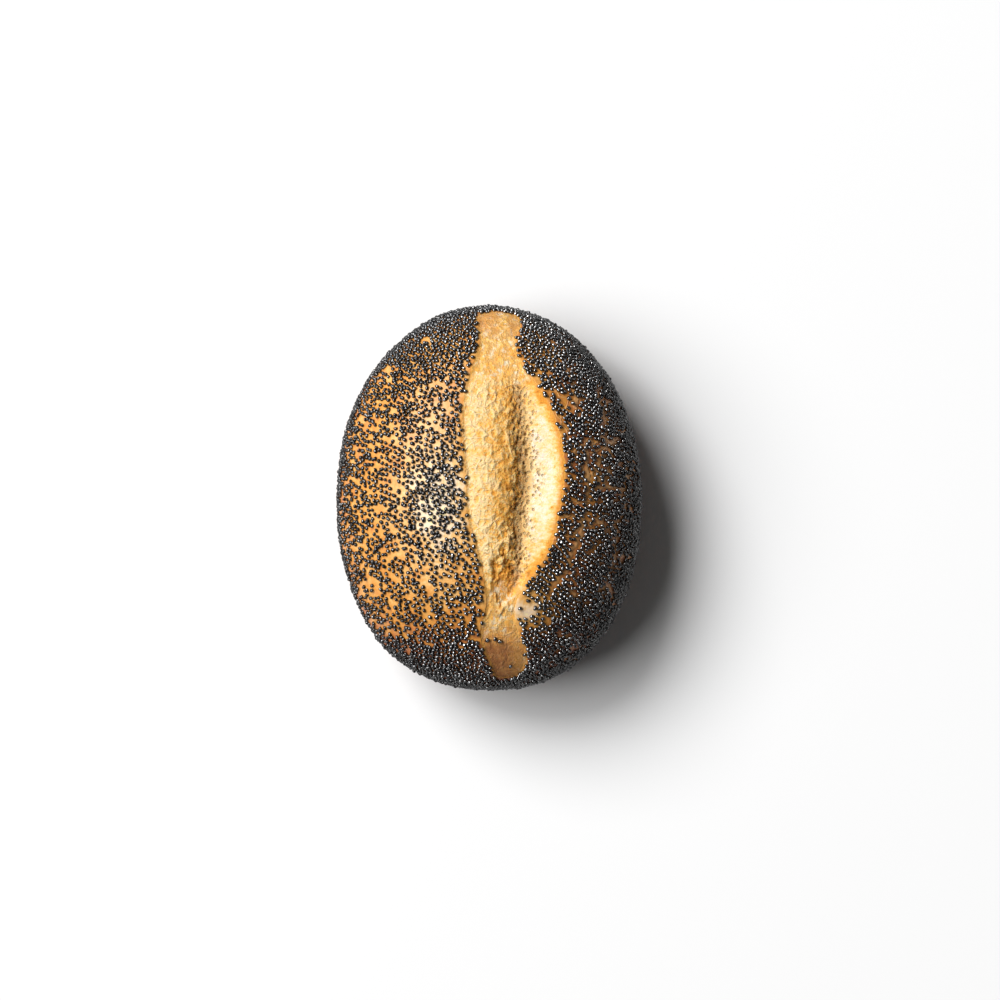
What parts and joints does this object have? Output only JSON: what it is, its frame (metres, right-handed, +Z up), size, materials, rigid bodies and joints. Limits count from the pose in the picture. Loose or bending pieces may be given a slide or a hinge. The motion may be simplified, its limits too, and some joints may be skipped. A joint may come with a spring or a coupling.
{
  "type": "poppy seed bread roll",
  "caption": "Oval bread roll with a poppy seed crust, split open along its top by one cut that shows the pale crumb.",
  "frame": {"origin": "middle of the flat underside, on the surface the roll lies on", "axes": "+Z up, +Y along the roll and its cut, +X across the roll towards the cut's raised lip"},
  "size_m": [0.087, 0.11, 0.0523],
  "materials": {
    "crust": "satin"
  },
  "bodies": {
    "root": {"bread_roll": "crust"}
  },
  "joints": []
}
